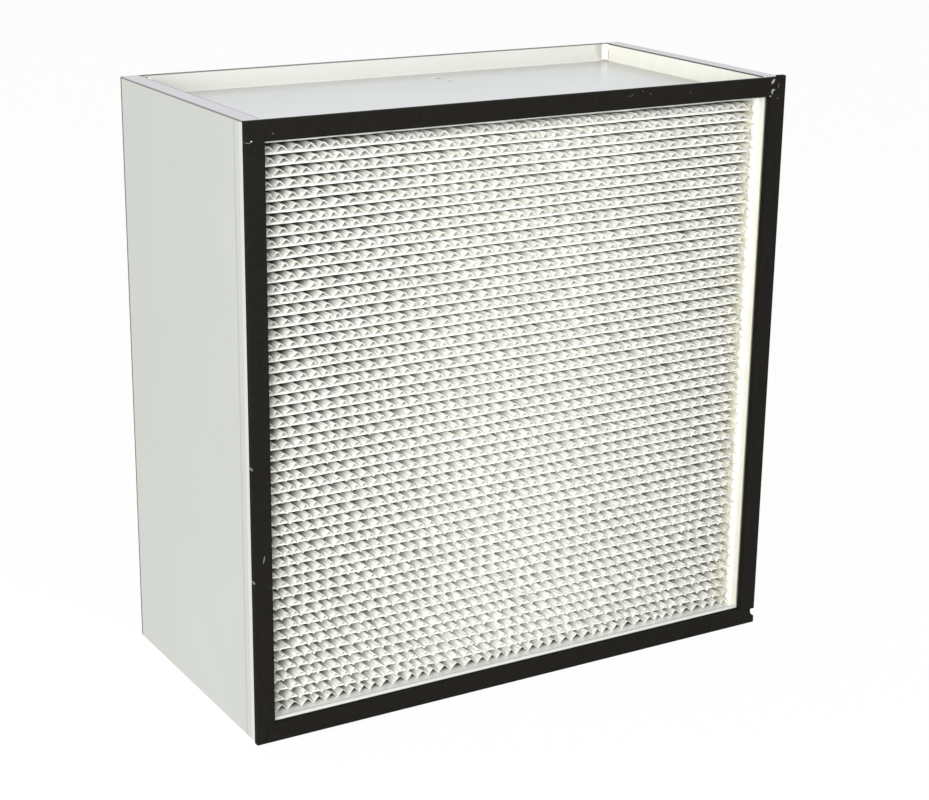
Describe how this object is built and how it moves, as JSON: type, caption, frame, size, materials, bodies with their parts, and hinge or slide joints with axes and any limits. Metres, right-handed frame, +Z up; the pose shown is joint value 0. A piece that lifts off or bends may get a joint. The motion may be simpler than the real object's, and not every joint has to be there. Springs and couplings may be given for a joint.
{
  "type": "hepa filter panel",
  "caption": "Boxed air filter with a pleated glass paper pack between corrugated separators, a galvanised sheet casing and a black sponge gasket on its front face",
  "frame": {"origin": "Bottom centre of the filter's bounding box, on the plane it stands on", "axes": "X runs across the filter's face, to the right when the gasket is seen from the front. Y runs from the gasket side to the back. Z is up"},
  "size_m": [0.61, 0.2984, 0.6115],
  "materials": {
    "galvanised": "satin",
    "potting": "matte",
    "gasket": "matte",
    "media": "matte",
    "separator": "satin",
    "sealant": "matte"
  },
  "bodies": {
    "root": {"side_tray_left": "galvanised", "side_tray_right": "galvanised", "top_channel": "galvanised", "bottom_channel": "galvanised", "potting_left": "potting", "potting_right": "potting", "gasket_left": "gasket", "gasket_top": "gasket", "gasket_right": "gasket", "gasket_bottom": "gasket", "media_pack": "media", "separator_front_03": "separator", "separator_front_10": "separator", "separator_front_17": "separator", "separator_front_24": "separator", "separator_front_31": "separator", "separator_front_38": "separator", "separator_front_45": "separator", "separator_front_52": "separator", "separator_rear_07": "separator", "separator_rear_21": "separator", "separator_rear_35": "separator", "separator_rear_49": "separator", "corner_sealant": "sealant"}
  },
  "joints": []
}
